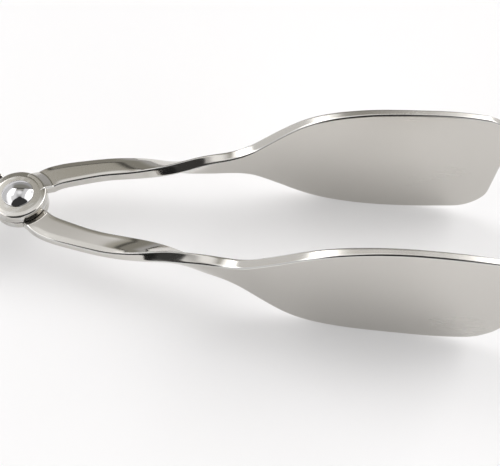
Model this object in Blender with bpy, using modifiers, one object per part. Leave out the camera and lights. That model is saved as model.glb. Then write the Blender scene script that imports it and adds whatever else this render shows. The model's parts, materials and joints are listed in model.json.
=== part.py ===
"""Serving tongs: two scissor arms with upright spatula blades, held by one domed rivet.

Each arm is one strip of steel. Its middle is a round eye that is stepped up by half a
thickness, so that the two eyes lie on each other while the arms share one plane. In front
of the eye the strip bows outwards, twists a quarter turn and widens to a blade that stands
on edge. Behind the eye it runs out to an oval finger ring.

Frame: origin in the middle of the tongs' own box. +X runs towards the blade tips, +Y towards
the upper arm's blade and +Z up along the rivet to its domed head. Every piece is drawn about
a point on the rivet's axis midway between the two eyes, and is then moved there.
"""
import math
from dataclasses import dataclass

import bmesh
import bpy
from mathutils import Vector

# Strip and blade, in metres
STRIP_THICKNESS = 0.0025
STRIP_WIDTH = 0.0050
STRIP_ROOT_WIDTH = 0.0061
STRIP_EDGE_RADIUS = 0.0005
TAPER_END = 0.0200
BLADE_THICKNESS = 0.0019
BLADE_HEIGHT = 0.0375
BLADE_TIP_HEIGHT = 0.0330
BLADE_EDGE_RADIUS = 0.0003
BLADE_CORNER_RADIUS = 0.0075
BLADE_START = 0.0480
BLADE_FULL = 0.0960

# Run of the jaw
JAW_LENGTH = 0.1163
JAW_SPREAD = 0.0191
TWIST_START = 0.0176
TWIST_END = 0.0523
TWIST_ANGLE = math.radians(90)

# Eye and its step
EYE_RADIUS = 0.0067
EYE_EDGE_RADIUS = 0.0008
EYE_GAP = 0.0003
STEP_CLEARANCE = 0.0002
STEP_RUN = 0.0014
JAW_ROOT_ANGLE = math.radians(47)
HANDLE_ROOT_ANGLE = math.radians(33)

# Handle and finger ring
HANDLE_WIDTH = 0.0047
HANDLE_REACH = 0.0660
HANDLE_SPREAD = 0.0256
RING_INNER_LENGTH = 0.0330
RING_INNER_WIDTH = 0.0200
RING_BAND_WIDTH = 0.0046
RING_BAND_THICKNESS = 0.0031
RING_EDGE_RADIUS = 0.0012
RING_ANGLE = math.radians(14)
NECK_WIDTH = 0.0090
NECK_LENGTH = 0.0120

# Rivet and washer
SHANK_RADIUS = 0.0017
BORE_CLEARANCE = 0.0003
HEAD_RADIUS = 0.0037
HEAD_HEIGHT = 0.0015
HEAD_RIM_HEIGHT = 0.0002
TAIL_RADIUS = 0.0029
TAIL_HEIGHT = 0.0009
TAIL_EDGE_RADIUS = 0.0004
WASHER_RADIUS = 0.0037
WASHER_THICKNESS = 0.0006
WASHER_EDGE = 0.0001
SEAT_GAP = 0.0003
CUT_OVERRUN = 0.0020

# Fineness of the surfaces
STATION_SPACING = 0.0021
EYE_STEPS = 12
CORNER_STEPS = 6
EDGE_STEPS = 2
RING_STEPS = 44
ROUND_SEGMENTS = 40
DOME_STEPS = 7
SHARP_ANGLE = math.radians(32)
SLOPE_REACH = 0.0001
MERGE_DISTANCE = 0.00001

# Plan of the jaw, as shares of the way from the eye's step to the blade's tip
JAW_BOW_SHARES = (
    (0.00, 0.000),
    (0.02, 0.100),
    (0.06, 0.205),
    (0.13, 0.350),
    (0.20, 0.430),
    (0.27, 0.490),
    (0.33, 0.590),
    (0.40, 0.690),
    (0.47, 0.830),
    (0.54, 0.924),
    (0.62, 0.950),
    (0.76, 0.970),
    (0.90, 1.008),
    (1.00, 1.000),
)

# Plan of the handle, as shares of the way from the eye's step to the finger ring
HANDLE_BOW_SHARES = (
    (0.00, 0.000),
    (0.10, 0.130),
    (0.35, 0.360),
    (0.70, 0.670),
    (1.00, 1.000),
)

# Widening of the blade, as shares of its run and of the height that it gains
BLADE_RISE_SHARES = (
    (0.00, 0.000),
    (0.07, 0.040),
    (0.14, 0.130),
    (0.21, 0.280),
    (0.29, 0.460),
    (0.38, 0.645),
    (0.46, 0.765),
    (0.56, 0.865),
    (0.70, 0.950),
    (0.85, 0.990),
    (1.00, 1.000),
)

STEEL = (0.72, 0.71, 0.69, 1.0)
RIVET_STEEL = (0.80, 0.80, 0.80, 1.0)
ARM_ROUGHNESS = 0.18
RIVET_ROUGHNESS = 0.08


@dataclass
class Section:
    """One cross-section of a lofted strip, square to its direction."""

    centre: Vector
    along: Vector
    width: float
    thickness: float
    edge_radius: float
    twist: float = 0.0
    lift: float = 0.0
    arc_radius: float = 0.0


def clear_scene() -> None:
    """Remove every object of the scene."""
    for obj in list(bpy.data.objects):
        bpy.data.objects.remove(obj, do_unlink=True)


def new_collection(name: str) -> bpy.types.Collection:
    """Make a collection under the scene's own."""
    collection = bpy.data.collections.new(name)
    bpy.context.scene.collection.children.link(collection)
    return collection


def steel_material(name: str, colour: tuple, roughness: float) -> bpy.types.Material:
    """Make a bare metal finish."""
    material = bpy.data.materials.new(name)
    material.use_nodes = True
    shader = material.node_tree.nodes["Principled BSDF"]
    shader.inputs["Base Color"].default_value = colour
    shader.inputs["Roughness"].default_value = roughness
    shader.inputs["Metallic"].default_value = 1.0
    return material


def smoothstep(value: float) -> float:
    """Ease from 0 to 1, flat at both ends."""
    share = min(max(value, 0.0), 1.0)
    return share * share * (3.0 - 2.0 * share)


def blend(start: float, end: float, share: float) -> float:
    """Mix two values by a share between 0 and 1."""
    return start + (end - start) * share


def curve_value(table_shares: tuple, share: float) -> float:
    """Read a smooth curve through a table of (place, value) shares."""
    last = len(table_shares) - 1
    index = 0
    while index < last - 1 and share > table_shares[index + 1][0]:
        index += 1
    before = table_shares[max(index - 1, 0)]
    start = table_shares[index]
    end = table_shares[index + 1]
    after = table_shares[min(index + 2, last)]
    span = end[0] - start[0]
    start_slope = (end[1] - before[1]) / (end[0] - before[0])
    end_slope = (after[1] - start[1]) / (after[0] - start[0])
    t = (share - start[0]) / span
    value = start[1] * (2 * t**3 - 3 * t**2 + 1) + end[1] * (3 * t**2 - 2 * t**3)
    return value + span * (start_slope * (t**3 - 2 * t**2 + t) + end_slope * (t**3 - t**2))


def plan_direction(angle: float) -> Vector:
    """Find the level direction at an angle from +X."""
    return Vector((math.cos(angle), math.sin(angle), 0.0))


def jaw_root() -> Vector:
    """Find where the step beside the eye ends, on the jaw's middle line."""
    return plan_direction(JAW_ROOT_ANGLE) * (EYE_RADIUS + STEP_CLEARANCE + STEP_RUN)


def handle_root() -> Vector:
    """Find where the step beside the eye ends, on the handle's middle line."""
    return -plan_direction(HANDLE_ROOT_ANGLE) * (EYE_RADIUS + STEP_CLEARANCE + STEP_RUN)


def ring_outward() -> Vector:
    """Find the direction of the ring's long axis, away from the rivet."""
    return -plan_direction(RING_ANGLE)


def ring_half_axes() -> tuple:
    """Find the half axes of the oval along the middle of the ring's band."""
    return (RING_INNER_LENGTH + RING_BAND_WIDTH) / 2, (RING_INNER_WIDTH + RING_BAND_WIDTH) / 2


def ring_centre() -> Vector:
    """Find the middle of the upper arm's finger ring."""
    return Vector((-HANDLE_REACH, -HANDLE_SPREAD, 0.0))


def ring_front() -> Vector:
    """Find where the strip's middle line meets the middle of the ring's band."""
    return ring_centre() - ring_outward() * ring_half_axes()[0]


def rivet_place() -> Vector:
    """Find the point on the rivet's axis that the pieces are drawn about."""
    long_part = ring_half_axes()[0] * math.cos(RING_ANGLE)
    wide_part = ring_half_axes()[1] * math.sin(RING_ANGLE)
    rear = HANDLE_REACH + math.hypot(long_part, wide_part) + RING_BAND_WIDTH / 2
    return Vector(((rear - JAW_LENGTH) / 2, 0.0, 0.0))


def jaw_y(x: float) -> float:
    """Find how far the jaw's middle line is from the tongs' middle plane."""
    root = jaw_root()
    share = (x - root.x) / (JAW_LENGTH - root.x)
    return blend(root.y, JAW_SPREAD, curve_value(JAW_BOW_SHARES, share))


def handle_y(x: float) -> float:
    """Find how far the handle's middle line is from the tongs' middle plane."""
    root = handle_root()
    front = ring_front()
    share = (x - root.x) / (front.x - root.x)
    return blend(root.y, front.y, curve_value(HANDLE_BOW_SHARES, share))


def line_direction(line, x: float) -> Vector:
    """Measure the direction of a middle line y = line(x) at x."""
    ahead, behind = x + SLOPE_REACH, x - SLOPE_REACH
    return Vector((ahead - behind, line(ahead) - line(behind), 0.0)).normalized()


def jaw_height(x: float) -> float:
    """Find the width of the jaw's strip, or the height of its blade."""
    if x < BLADE_FULL:
        root = jaw_root()
        taper = smoothstep((x - root.x) / (TAPER_END - root.x))
        strip_width = blend(STRIP_ROOT_WIDTH, STRIP_WIDTH, taper)
        rise_share = max((x - BLADE_START) / (BLADE_FULL - BLADE_START), 0.0)
        return blend(strip_width, BLADE_HEIGHT, curve_value(BLADE_RISE_SHARES, rise_share))
    droop = ((x - BLADE_FULL) / (JAW_LENGTH - BLADE_FULL)) ** 2
    height = blend(BLADE_HEIGHT, BLADE_TIP_HEIGHT, droop)
    into_corner = x - (JAW_LENGTH - BLADE_CORNER_RADIUS)
    if into_corner > 0:
        rest = math.sqrt(max(BLADE_CORNER_RADIUS**2 - into_corner**2, 0.0))
        height -= 2 * (BLADE_CORNER_RADIUS - rest)
    return height


def jaw_section(x: float) -> Section:
    """Describe the jaw's section at x."""
    into_blade = smoothstep((x - BLADE_START) / (BLADE_FULL - BLADE_START))
    return Section(
        centre=Vector((x, jaw_y(x), 0.0)),
        along=line_direction(jaw_y, x),
        width=jaw_height(x),
        thickness=blend(STRIP_THICKNESS, BLADE_THICKNESS, into_blade),
        edge_radius=blend(STRIP_EDGE_RADIUS, BLADE_EDGE_RADIUS, into_blade),
        twist=TWIST_ANGLE * smoothstep((x - TWIST_START) / (TWIST_END - TWIST_START)),
    )


def jaw_sections() -> list:
    """List the sections from the step beside the eye to the blade's tip."""
    start = jaw_root().x
    corner = JAW_LENGTH - BLADE_CORNER_RADIUS
    count = max(round((corner - start) / STATION_SPACING), 2)
    places = [blend(start, corner, (step + 1) / count) for step in range(count)]
    reach = BLADE_CORNER_RADIUS - BLADE_EDGE_RADIUS
    for step in range(1, CORNER_STEPS + 1):
        places.append(corner + reach * math.sin(math.pi / 2 * step / CORNER_STEPS))
    sections = [jaw_section(x) for x in places]
    tip = jaw_section(JAW_LENGTH)
    tip.thickness -= BLADE_EDGE_RADIUS
    tip.edge_radius /= 2
    sections.append(tip)
    return sections


def handle_sections() -> list:
    """List the sections from the finger ring to the step beside the eye."""
    start = ring_front().x
    end = handle_root().x
    count = max(round((end - start) / (2 * STATION_SPACING)), 2)
    sections = []
    for step in range(count):
        x = blend(start, end, step / count)
        into_neck = max(1.0 - (x - start) / NECK_LENGTH, 0.0)
        section = Section(
            centre=Vector((x, handle_y(x), 0.0)),
            along=line_direction(handle_y, x),
            width=blend(HANDLE_WIDTH, NECK_WIDTH, into_neck**2),
            thickness=STRIP_THICKNESS,
            edge_radius=STRIP_EDGE_RADIUS,
        )
        sections.append(section)
    return sections


def step_sections(root: Vector, width: float) -> list:
    """List the two sections of a step, from the eye's rim outwards."""
    lift = (EYE_GAP + STRIP_THICKNESS) / 2
    outward = root.normalized()
    sections = []
    for reach, height in ((root.length - STEP_RUN, lift), (root.length, 0.0)):
        section = Section(
            centre=outward * reach,
            along=outward * math.copysign(1.0, root.x),
            width=width,
            thickness=STRIP_THICKNESS,
            edge_radius=blend(STRIP_EDGE_RADIUS, EYE_EDGE_RADIUS, height / lift),
            lift=height,
            arc_radius=reach,
        )
        sections.append(section)
    return sections


def eye_sections() -> list:
    """List the sections across the eye, with the step down on both of its sides.

    Each section of the eye is a chord of its round rim. The chords turn from square to the
    handle to square to the jaw, so that both ends of a chord run evenly round the rim.
    """
    jaw_half = math.asin(STRIP_ROOT_WIDTH / 2 / EYE_RADIUS)
    handle_half = math.asin(HANDLE_WIDTH / 2 / EYE_RADIUS)
    left_start = math.pi + HANDLE_ROOT_ANGLE - handle_half
    right_start = HANDLE_ROOT_ANGLE + handle_half - math.pi
    chords = []
    for step in range(EYE_STEPS + 1):
        share = step / EYE_STEPS
        left = plan_direction(blend(left_start, JAW_ROOT_ANGLE + jaw_half, share)) * EYE_RADIUS
        right = plan_direction(blend(right_start, JAW_ROOT_ANGLE - jaw_half, share)) * EYE_RADIUS
        across = left - right
        section = Section(
            centre=(left + right) / 2,
            along=Vector((across.y, -across.x, 0.0)).normalized(),
            width=across.length,
            thickness=STRIP_THICKNESS,
            edge_radius=EYE_EDGE_RADIUS,
            lift=(EYE_GAP + STRIP_THICKNESS) / 2,
        )
        chords.append(section)
    handle_step = step_sections(handle_root(), HANDLE_WIDTH)
    return handle_step[::-1] + chords + step_sections(jaw_root(), STRIP_ROOT_WIDTH)


def rounded_outline(width: float, thickness: float, radius: float) -> list:
    """List the points of a rounded rectangle, with a point midway on each long face."""
    points = []
    for side, face, start in ((1, 1, 0), (-1, 1, 90), (-1, -1, 180), (1, -1, 270)):
        for step in range(EDGE_STEPS + 1):
            angle = math.radians(start + 90 * step / EDGE_STEPS)
            across = side * (width / 2 - radius) + radius * math.cos(angle)
            through = face * (thickness / 2 - radius) + radius * math.sin(angle)
            points.append((across, through))
        if side == face:
            points.append((0.0, face * thickness / 2))
    return points


def section_points(section: Section) -> list:
    """Place a section's outline in space."""
    along = section.along
    left = Vector((-along.y, along.x, 0.0))
    up = Vector((0.0, 0.0, 1.0))
    cosine, sine = math.cos(section.twist), math.sin(section.twist)
    across_axis = left * cosine - up * sine
    through_axis = up * cosine + left * sine
    points = []
    for across, through in rounded_outline(section.width, section.thickness, section.edge_radius):
        base = section.centre + across_axis * across
        if section.arc_radius:
            side = math.copysign(1.0, section.centre.dot(along))
            base = left * across + along * side * math.sqrt(section.arc_radius**2 - across**2)
        points.append(base + through_axis * through + up * section.lift)
    return points


def loft(name: str, outlines: list, closed: bool) -> bpy.types.Mesh:
    """Skin a row of like outlines, with caps unless the row runs in a ring."""
    mesh = bmesh.new()
    rows = [[mesh.verts.new(point) for point in outline] for outline in outlines]
    count = len(rows[0])
    pairs = list(zip(rows, rows[1:]))
    if closed:
        pairs.append((rows[-1], rows[0]))
    for near, far in pairs:
        for index in range(count):
            following = (index + 1) % count
            mesh.faces.new((near[index], near[following], far[following], far[index]))
    if not closed:
        mesh.faces.new(rows[0][::-1])
        mesh.faces.new(rows[-1])
    bmesh.ops.recalc_face_normals(mesh, faces=mesh.faces)
    data = bpy.data.meshes.new(name)
    mesh.to_mesh(data)
    mesh.free()
    return data


def add_object(name: str, mesh: bpy.types.Mesh, collection: bpy.types.Collection) -> bpy.types.Object:
    """Put a mesh in a collection as an object of its own."""
    obj = bpy.data.objects.new(name, mesh)
    collection.objects.link(obj)
    return obj


def add_tool(name: str, mesh: bpy.types.Mesh, cutters: bpy.types.Collection) -> bpy.types.Object:
    """Add a helper body, which shows as wires and is left out of the render."""
    tool = add_object(name, mesh, cutters)
    tool.hide_render = True
    tool.display_type = "WIRE"
    return tool


def shade_round(obj: bpy.types.Object) -> None:
    """Shade a mesh smooth but for its sharp edges."""
    obj.data.shade_smooth()
    obj.data.set_sharp_from_angle(angle=SHARP_ANGLE)


def ring_outlines() -> list:
    """List the band's outlines round the finger ring."""
    half_length, half_width = ring_half_axes()
    outward = ring_outward()
    sideways = Vector((-outward.y, outward.x, 0.0))
    outlines = []
    for step in range(RING_STEPS):
        turn = 2 * math.pi * step / RING_STEPS
        place = outward * half_length * math.cos(turn) + sideways * half_width * math.sin(turn)
        direction = sideways * half_width * math.cos(turn) - outward * half_length * math.sin(turn)
        section = Section(
            centre=ring_centre() + place,
            along=direction.normalized(),
            width=RING_BAND_WIDTH,
            thickness=RING_BAND_THICKNESS,
            edge_radius=RING_EDGE_RADIUS,
        )
        outlines.append(section_points(section))
    return outlines


def cylinder_mesh(name: str, radius: float, bottom: float, top: float) -> bpy.types.Mesh:
    """Make a plain cylinder along Z."""
    shape = bmesh.new()
    bmesh.ops.create_cone(
        shape,
        cap_ends=True,
        segments=ROUND_SEGMENTS,
        radius1=radius,
        radius2=radius,
        depth=top - bottom,
    )
    bmesh.ops.translate(shape, verts=shape.verts, vec=(0.0, 0.0, (top + bottom) / 2))
    data = bpy.data.meshes.new(name)
    shape.to_mesh(data)
    shape.free()
    return data


def add_boolean(obj: bpy.types.Object, tool: bpy.types.Object, operation: str) -> None:
    """Join a tool to an object, or cut it away."""
    modifier = obj.modifiers.new(tool.name, "BOOLEAN")
    modifier.operation = operation
    modifier.object = tool
    modifier.solver = "EXACT"


def build_arm(name: str, parts, cutters) -> bpy.types.Object:
    """Build one arm: blade, twisted jaw, stepped eye with its bore, handle and finger ring."""
    sections = handle_sections() + eye_sections() + jaw_sections()
    arm = add_object(name, loft(name, [section_points(s) for s in sections], closed=False), parts)
    ring = add_tool(name + "_ring", loft(name + "_ring", ring_outlines(), closed=True), cutters)
    ring.parent = arm
    add_boolean(arm, ring, "UNION")
    bore_mesh = cylinder_mesh(
        name + "_bore",
        SHANK_RADIUS + BORE_CLEARANCE,
        -CUT_OVERRUN,
        EYE_GAP + STRIP_THICKNESS + CUT_OVERRUN,
    )
    bore = add_tool(name + "_bore", bore_mesh, cutters)
    bore.parent = arm
    add_boolean(arm, bore, "DIFFERENCE")
    shade_round(arm)
    return arm


def turned_object(name: str, profile: list, parts: bpy.types.Collection) -> bpy.types.Object:
    """Turn a profile of (radius, height) points, top to bottom, about Z."""
    mesh = bpy.data.meshes.new(name)
    points = [(radius, 0.0, height) for radius, height in profile]
    edges = [(index, index + 1) for index in range(len(points) - 1)]
    mesh.from_pydata(points, edges, [])
    obj = add_object(name, mesh, parts)
    screw = obj.modifiers.new("turn", "SCREW")
    screw.steps = ROUND_SEGMENTS
    screw.render_steps = ROUND_SEGMENTS
    screw.use_merge_vertices = True
    screw.merge_threshold = MERGE_DISTANCE
    screw.use_smooth_shade = True
    return obj


def build_rivet(parts: bpy.types.Collection) -> bpy.types.Object:
    """Build the rivet: domed head, shank and the tail that is closed over the washer."""
    head_base = EYE_GAP / 2 + STRIP_THICKNESS + SEAT_GAP
    dome_base = head_base + HEAD_RIM_HEIGHT
    dome_height = HEAD_HEIGHT - HEAD_RIM_HEIGHT
    dome_radius = (HEAD_RADIUS**2 + dome_height**2) / (2 * dome_height)
    dome_angle = math.asin(HEAD_RADIUS / dome_radius)
    dome_centre = dome_base + dome_height - dome_radius
    profile = []
    for step in range(DOME_STEPS + 1):
        angle = dome_angle * step / DOME_STEPS
        profile.append((dome_radius * math.sin(angle), dome_centre + dome_radius * math.cos(angle)))
    tail_top = -(EYE_GAP / 2 + STRIP_THICKNESS + SEAT_GAP + WASHER_THICKNESS + SEAT_GAP)
    tail_bottom = tail_top - TAIL_HEIGHT
    profile.append((HEAD_RADIUS, head_base))
    profile.append((SHANK_RADIUS, head_base))
    profile.append((SHANK_RADIUS, tail_top))
    profile.append((TAIL_RADIUS, tail_top))
    profile.append((TAIL_RADIUS, tail_bottom + TAIL_EDGE_RADIUS))
    profile.append((TAIL_RADIUS - TAIL_EDGE_RADIUS, tail_bottom))
    profile.append((0.0, tail_bottom))
    return turned_object("pivot_rivet", profile, parts)


def build_washer(parts: bpy.types.Collection) -> bpy.types.Object:
    """Build the plain washer between the lower eye and the rivet's tail."""
    top = -(EYE_GAP / 2 + STRIP_THICKNESS + SEAT_GAP)
    bottom = top - WASHER_THICKNESS
    bore = SHANK_RADIUS + BORE_CLEARANCE
    rim = WASHER_RADIUS - WASHER_EDGE
    profile = [
        (bore, top),
        (rim, top),
        (WASHER_RADIUS, top - WASHER_EDGE),
        (WASHER_RADIUS, bottom + WASHER_EDGE),
        (rim, bottom),
        (bore, bottom),
        (bore, top),
    ]
    return turned_object("rivet_washer", profile, parts)


def main() -> None:
    """Build the tongs."""
    clear_scene()
    parts = new_collection("serving_tongs")
    cutters = new_collection("cutters")
    upper_arm = build_arm("upper_arm", parts, cutters)
    upper_arm.data.materials.append(steel_material("upper_arm_steel", STEEL, ARM_ROUGHNESS))
    lower_arm = build_arm("lower_arm", parts, cutters)
    lower_arm.rotation_euler = (math.pi, 0.0, 0.0)
    lower_arm.data.materials.append(steel_material("lower_arm_steel", STEEL, ARM_ROUGHNESS))
    rivet = build_rivet(parts)
    rivet.data.materials.append(steel_material("rivet_steel", RIVET_STEEL, RIVET_ROUGHNESS))
    washer = build_washer(parts)
    washer.data.materials.append(steel_material("washer_steel", STEEL, ARM_ROUGHNESS))
    for piece in (upper_arm, lower_arm, rivet, washer):
        piece.location = rivet_place()


main()
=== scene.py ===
"""Serving tongs on a pale table: the dressed model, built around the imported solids.

The two arms are one pressed strip of polished steel each, swept along its middle line by a
Geometry Nodes tree. The rivet and its washer are turned. All lengths are metres. Every piece
is drawn about a point on the rivet's axis, midway between the two eyes, and then moved to the
place that the rivet has in the frame.
"""
import json
import logging
import math
from dataclasses import dataclass
from enum import Enum

import bmesh
import bpy
import numpy as np
from mathutils import Matrix, Vector


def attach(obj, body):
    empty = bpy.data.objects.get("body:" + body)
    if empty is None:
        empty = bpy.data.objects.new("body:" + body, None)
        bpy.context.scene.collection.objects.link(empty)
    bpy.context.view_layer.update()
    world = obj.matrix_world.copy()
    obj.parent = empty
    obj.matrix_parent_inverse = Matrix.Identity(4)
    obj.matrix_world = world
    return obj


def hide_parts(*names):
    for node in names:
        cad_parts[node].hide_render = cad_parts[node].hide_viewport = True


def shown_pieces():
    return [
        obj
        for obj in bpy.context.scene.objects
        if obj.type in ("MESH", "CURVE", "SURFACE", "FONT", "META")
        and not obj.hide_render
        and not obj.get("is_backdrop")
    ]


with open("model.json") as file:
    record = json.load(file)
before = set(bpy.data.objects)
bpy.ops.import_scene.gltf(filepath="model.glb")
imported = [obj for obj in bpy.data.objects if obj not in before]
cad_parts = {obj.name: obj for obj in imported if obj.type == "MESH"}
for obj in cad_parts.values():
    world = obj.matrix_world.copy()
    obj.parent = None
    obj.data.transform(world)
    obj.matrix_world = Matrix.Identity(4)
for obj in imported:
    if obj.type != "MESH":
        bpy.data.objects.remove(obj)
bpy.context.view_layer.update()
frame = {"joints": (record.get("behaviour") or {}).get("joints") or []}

RIVET_PLACE = Vector(frame["joints"][0]["pos_m"])
MM = 0.001
MERGE_DISTANCE = 0.002 * MM
WINDOW_DEVIATIONS = 3

log = logging.getLogger("serving_tongs")


class Body(Enum):
    """The bodies that the pieces ride on."""

    LOWER = "lower_half"
    UPPER = "upper_half"


class Slot(Enum):
    """The material slots of the record."""

    ARM = "arm_steel"
    RIVET = "rivet_steel"
    WASHER = "washer_steel"


class Join(Enum):
    """The ways in which a tool changes a piece."""

    ADD = "UNION"
    CUT = "DIFFERENCE"


class TurnedEdge(Enum):
    """A turned piece's edges, by the angle at which their rounding starts, in degrees."""

    UPPER = 90.0
    LOWER = 0.0


# Numbers and curves


def smoothstep(value: np.ndarray) -> np.ndarray:
    """Ease from 0 to 1 over values from 0 to 1, flat at both ends."""
    share = np.clip(value, 0.0, 1.0)
    return share * share * (3.0 - 2.0 * share)


def mix(start: float, end: float, share: np.ndarray) -> np.ndarray:
    """Mix two values by shares, from the start at 0 to the end at 1."""
    return start + (end - start) * share


def plan_direction(angle: float) -> np.ndarray:
    """Find the level direction, as X and Y, at an angle in degrees from +X."""
    return np.array([math.cos(math.radians(angle)), math.sin(math.radians(angle))])


def curve_values(table: tuple, shares: np.ndarray) -> np.ndarray:
    """Read a smooth curve through a table of (place, value) shares.

    Args:
        table: The pairs, sorted by place.
        shares: The places to read at.

    Returns:
        The values there.
    """
    places = np.array([row[0] for row in table])
    values = np.array([row[1] for row in table])
    slopes = np.empty(len(table))
    slopes[1:-1] = (values[2:] - values[:-2]) / (places[2:] - places[:-2])
    slopes[0] = (values[1] - values[0]) / (places[1] - places[0])
    slopes[-1] = (values[-1] - values[-2]) / (places[-1] - places[-2])
    index = np.clip(np.searchsorted(places, shares) - 1, 0, len(table) - 2)
    span = places[index + 1] - places[index]
    part = (shares - places[index]) / span
    before = 2 * part**3 - 3 * part**2 + 1
    after = 3 * part**2 - 2 * part**3
    level = values[index] * before + values[index + 1] * after
    before = part**3 - 2 * part**2 + part
    after = part**3 - part**2
    return level + span * (slopes[index] * before + slopes[index + 1] * after)


def soften(values: np.ndarray, reach: float) -> np.ndarray:
    """Smooth evenly spaced values with a bell-shaped window.

    Args:
        values: The values, one row each.
        reach: The window's deviation, in samples.

    Returns:
        The smoothed values, with straight continuations at both ends.
    """
    half = int(WINDOW_DEVIATIONS * reach) + 1
    offsets = np.arange(-half, half + 1)
    weights = np.exp(-0.5 * (offsets / reach) ** 2)
    weights /= weights.sum()
    columns = values.reshape(len(values), -1)
    steps = np.arange(1, half + 1)[:, None]
    before = columns[0] + (columns[0] - columns[1]) * steps[::-1]
    after = columns[-1] + (columns[-1] - columns[-2]) * steps
    padded = np.vstack([before, columns, after])
    smooth = [np.convolve(column, weights, mode="valid") for column in padded.T]
    return np.stack(smooth, axis=1).reshape(values.shape)


def read_along(places: np.ndarray, run: np.ndarray, values: np.ndarray) -> np.ndarray:
    """Read values between the samples of a line.

    Args:
        places: The lengths along the line to read at.
        run: The length at each sample.
        values: The values at the samples, one number or one row each.

    Returns:
        The values at the places, one number or one row each.
    """
    columns = values.reshape(len(values), -1).T
    read = np.stack([np.interp(places, run, column) for column in columns], axis=1)
    return read.reshape(len(places), *values.shape[1:])


# Objects


def add_object(name: str, data: bpy.types.ID) -> bpy.types.Object:
    """Add an object to the scene.

    Args:
        name: The object's name.
        data: Its mesh or camera.

    Returns:
        The object.
    """
    made = bpy.data.objects.new(name, data)
    bpy.context.scene.collection.objects.link(made)
    return made


def evaluated_mesh(obj: bpy.types.Object) -> bpy.types.Mesh:
    """Make a plain mesh of what an object's modifiers give.

    Args:
        obj: The object, which stays as it is.

    Returns:
        The mesh.
    """
    bpy.context.view_layer.update()
    graph = bpy.context.evaluated_depsgraph_get()
    return bpy.data.meshes.new_from_object(obj.evaluated_get(graph), depsgraph=graph)


def store(mesh: bpy.types.Mesh, name: str, values: list) -> None:
    """Store point values on a mesh, as numbers or as vectors.

    Args:
        mesh: The mesh.
        name: The attribute's name.
        values: One number or vector for each point.
    """
    data = np.array(values, dtype=np.float32)
    vectors = data.ndim == 2
    kind = "FLOAT_VECTOR" if vectors else "FLOAT"
    attribute = mesh.attributes.new(name, kind, "POINT")
    attribute.data.foreach_set("vector" if vectors else "value", data.ravel())


# Node graphs


class Graph:
    """A node tree that is written as plain calls."""

    def __init__(self, tree: bpy.types.NodeTree) -> None:
        """Wrap a node tree."""
        self.tree = tree

    def add(self, kind: str, settings: dict | None = None, **inputs: object) -> bpy.types.Node:
        """Add a node.

        Args:
            kind: The node's type name.
            settings: Attributes to set on the node.
            **inputs: Values or sockets for the inputs, named with _ for a space.

        Returns:
            The node.
        """
        node = self.tree.nodes.new(kind)
        for name, value in (settings or {}).items():
            setattr(node, name, value)
        for name, value in inputs.items():
            self.feed(node.inputs[name.replace("_", " ")], value)
        return node

    def feed(self, socket: bpy.types.NodeSocket, value: object) -> None:
        """Link a socket to an input, or set the input's value.

        Args:
            socket: The input.
            value: An output socket or a plain value.
        """
        if isinstance(value, bpy.types.NodeSocket):
            self.tree.links.new(value, socket)
        else:
            socket.default_value = value

    def fill(self, node: bpy.types.Node, values: tuple) -> None:
        """Feed a node's enabled inputs in their order.

        Args:
            node: The node.
            values: Sockets or plain values.
        """
        sockets = [socket for socket in node.inputs if socket.enabled]
        for socket, value in zip(sockets, values):
            self.feed(socket, value)

    def math(self, operation: str, *values: object) -> bpy.types.NodeSocket:
        """Add a Math node.

        Args:
            operation: The node's operation.
            *values: The two or three terms, as sockets or numbers.

        Returns:
            Its result.
        """
        node = self.add("ShaderNodeMath", {"operation": operation})
        self.fill(node, values)
        return node.outputs[0]

    def vector(self, operation: str, *values: object) -> bpy.types.Node:
        """Add a Vector Math node.

        Args:
            operation: The node's operation.
            *values: The terms, as sockets, vectors or numbers.

        Returns:
            The node.
        """
        node = self.add("ShaderNodeVectorMath", {"operation": operation})
        self.fill(node, values)
        return node

    def ramp(self, value: object, start: float, end: float) -> bpy.types.NodeSocket:
        """Ease from 0 to 1 while a value goes from start to end.

        Args:
            value: The value, as a socket.
            start: Where the result is 0.
            end: Where the result is 1.

        Returns:
            The eased share.
        """
        node = self.add("ShaderNodeMapRange", {"interpolation_type": "SMOOTHSTEP"})
        for name, item in (("Value", value), ("From Min", start), ("From Max", end)):
            self.feed(node.inputs[name], item)
        return node.outputs["Result"]

    def blend(self, share: object, start: object, end: object) -> bpy.types.NodeSocket:
        """Mix two numbers by the share of the second one."""
        difference = self.math("SUBTRACT", end, start)
        return self.math("MULTIPLY_ADD", difference, share, start)

    def blend_colour(self, share: object, start: object, end: object) -> bpy.types.NodeSocket:
        """Mix two colours.

        Args:
            share: The share of the second colour.
            start: The first colour.
            end: The second colour.

        Returns:
            The mixed colour.
        """
        node = self.add("ShaderNodeMix", {"data_type": "RGBA"})
        self.fill(node, (share, start, end))
        return next(socket for socket in node.outputs if socket.enabled)


def add_sockets(tree: bpy.types.NodeTree, direction: str, sockets: dict) -> None:
    """Add sockets, given as types by name, to a tree's INPUT or OUTPUT side."""
    for name, kind in sockets.items():
        tree.interface.new_socket(name, in_out=direction, socket_type=kind)


def start_material(name: str) -> tuple:
    """Start a material.

    Args:
        name: The material's name.

    Returns:
        The material, its graph and its Principled BSDF.
    """
    material = bpy.data.materials.new(name)
    material.use_nodes = True
    tree = material.node_tree
    return material, Graph(tree), tree.nodes["Principled BSDF"]


# The strip sweep


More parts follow.
